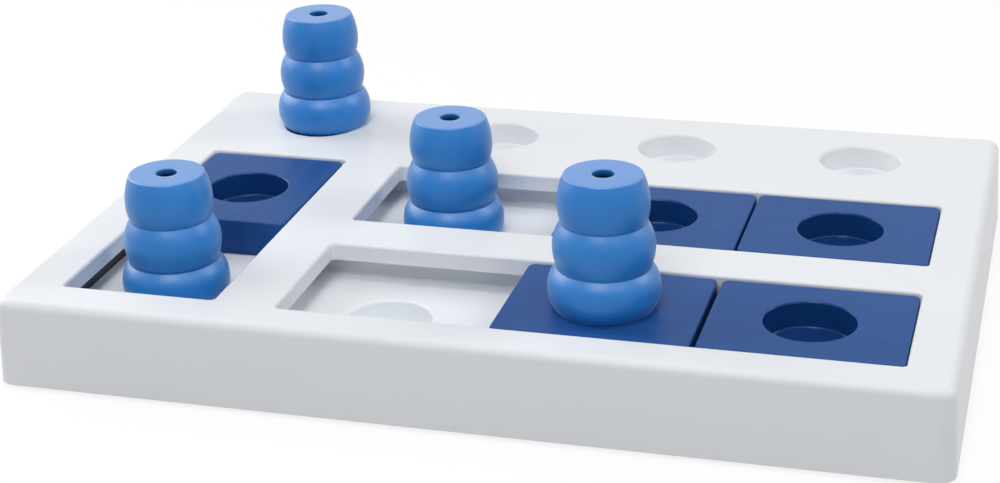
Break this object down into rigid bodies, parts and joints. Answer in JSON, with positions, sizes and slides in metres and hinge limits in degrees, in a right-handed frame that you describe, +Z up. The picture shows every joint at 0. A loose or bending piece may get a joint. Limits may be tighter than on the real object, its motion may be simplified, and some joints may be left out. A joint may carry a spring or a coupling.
{
  "type": "dog puzzle feeder board",
  "caption": "Flat feeding puzzle board with sliding covers in sunk tracks, round treat cups, and hollow stacking cones that lift off.",
  "frame": {"origin": "on the floor under the middle of the board", "axes": "+X along the board's length to the right, +Y to the back, where the row of cups is, +Z up"},
  "size_m": [0.4, 0.28, 0.0974],
  "materials": {
    "white_shell": "satin moulded plastic",
    "white_tray": "satin moulded plastic",
    "slider_blue": "satin to gloss moulded plastic",
    "cone_blue": "satin moulded plastic",
    "foot_rubber": "matt rubber",
    "screw_steel": "zinc plated"
  },
  "bodies": {
    "board": {"upper_shell": "white_shell", "base_tray": "white_tray", "shell_screws": "screw_steel", "foot_1": "foot_rubber", "foot_2": "foot_rubber", "foot_3": "foot_rubber", "foot_4": "foot_rubber", "foot_5": "foot_rubber", "foot_6": "foot_rubber", "foot_7": "foot_rubber", "foot_8": "foot_rubber"},
    "slider_front_right": {"slider_front_right": "slider_blue"},
    "slider_front_middle": {"slider_front_middle": "slider_blue"},
    "slider_rear_right": {"slider_rear_right": "slider_blue"},
    "slider_rear_middle": {"slider_rear_middle": "slider_blue"},
    "slider_left": {"slider_left": "slider_blue"},
    "cone_left": {"cone_left": "cone_blue"},
    "cone_rear": {"cone_rear": "cone_blue"},
    "cone_middle": {"cone_middle": "cone_blue"},
    "cone_front": {"cone_front": "cone_blue"}
  },
  "joints": [
    {"name": "front_right_slide", "type": "slide", "parent": "board", "child": "slider_front_right", "axis": [-1, 0, 0], "range_m": [0, 0.09]},
    {"name": "front_middle_slide", "type": "slide", "parent": "slider_front_right", "child": "slider_front_middle", "axis": [1, 0, 0], "range_m": [-0.09, 0]},
    {"name": "rear_right_slide", "type": "slide", "parent": "board", "child": "slider_rear_right", "axis": [-1, 0, 0], "range_m": [0, 0.03]},
    {"name": "rear_middle_slide", "type": "slide", "parent": "slider_rear_right", "child": "slider_rear_middle", "axis": [1, 0, 0], "range_m": [-0.03, 0]},
    {"name": "left_slide", "type": "slide", "parent": "board", "child": "slider_left", "axis": [0, 1, 0], "range_m": [-0.0228, 0]},
    {"name": "cone_left_lift", "type": "slide", "parent": "board", "child": "cone_left", "axis": [0, 0, 1], "range_m": [0, 0.07]},
    {"name": "cone_rear_lift", "type": "slide", "parent": "board", "child": "cone_rear", "axis": [0, 0, 1], "range_m": [0, 0.07]},
    {"name": "cone_middle_lift", "type": "slide", "parent": "board", "child": "cone_middle", "axis": [0, 0, 1], "range_m": [0, 0.07]},
    {"name": "cone_front_lift", "type": "slide", "parent": "slider_front_middle", "child": "cone_front", "axis": [0, 0, 1], "range_m": [0, 0.07]}
  ]
}
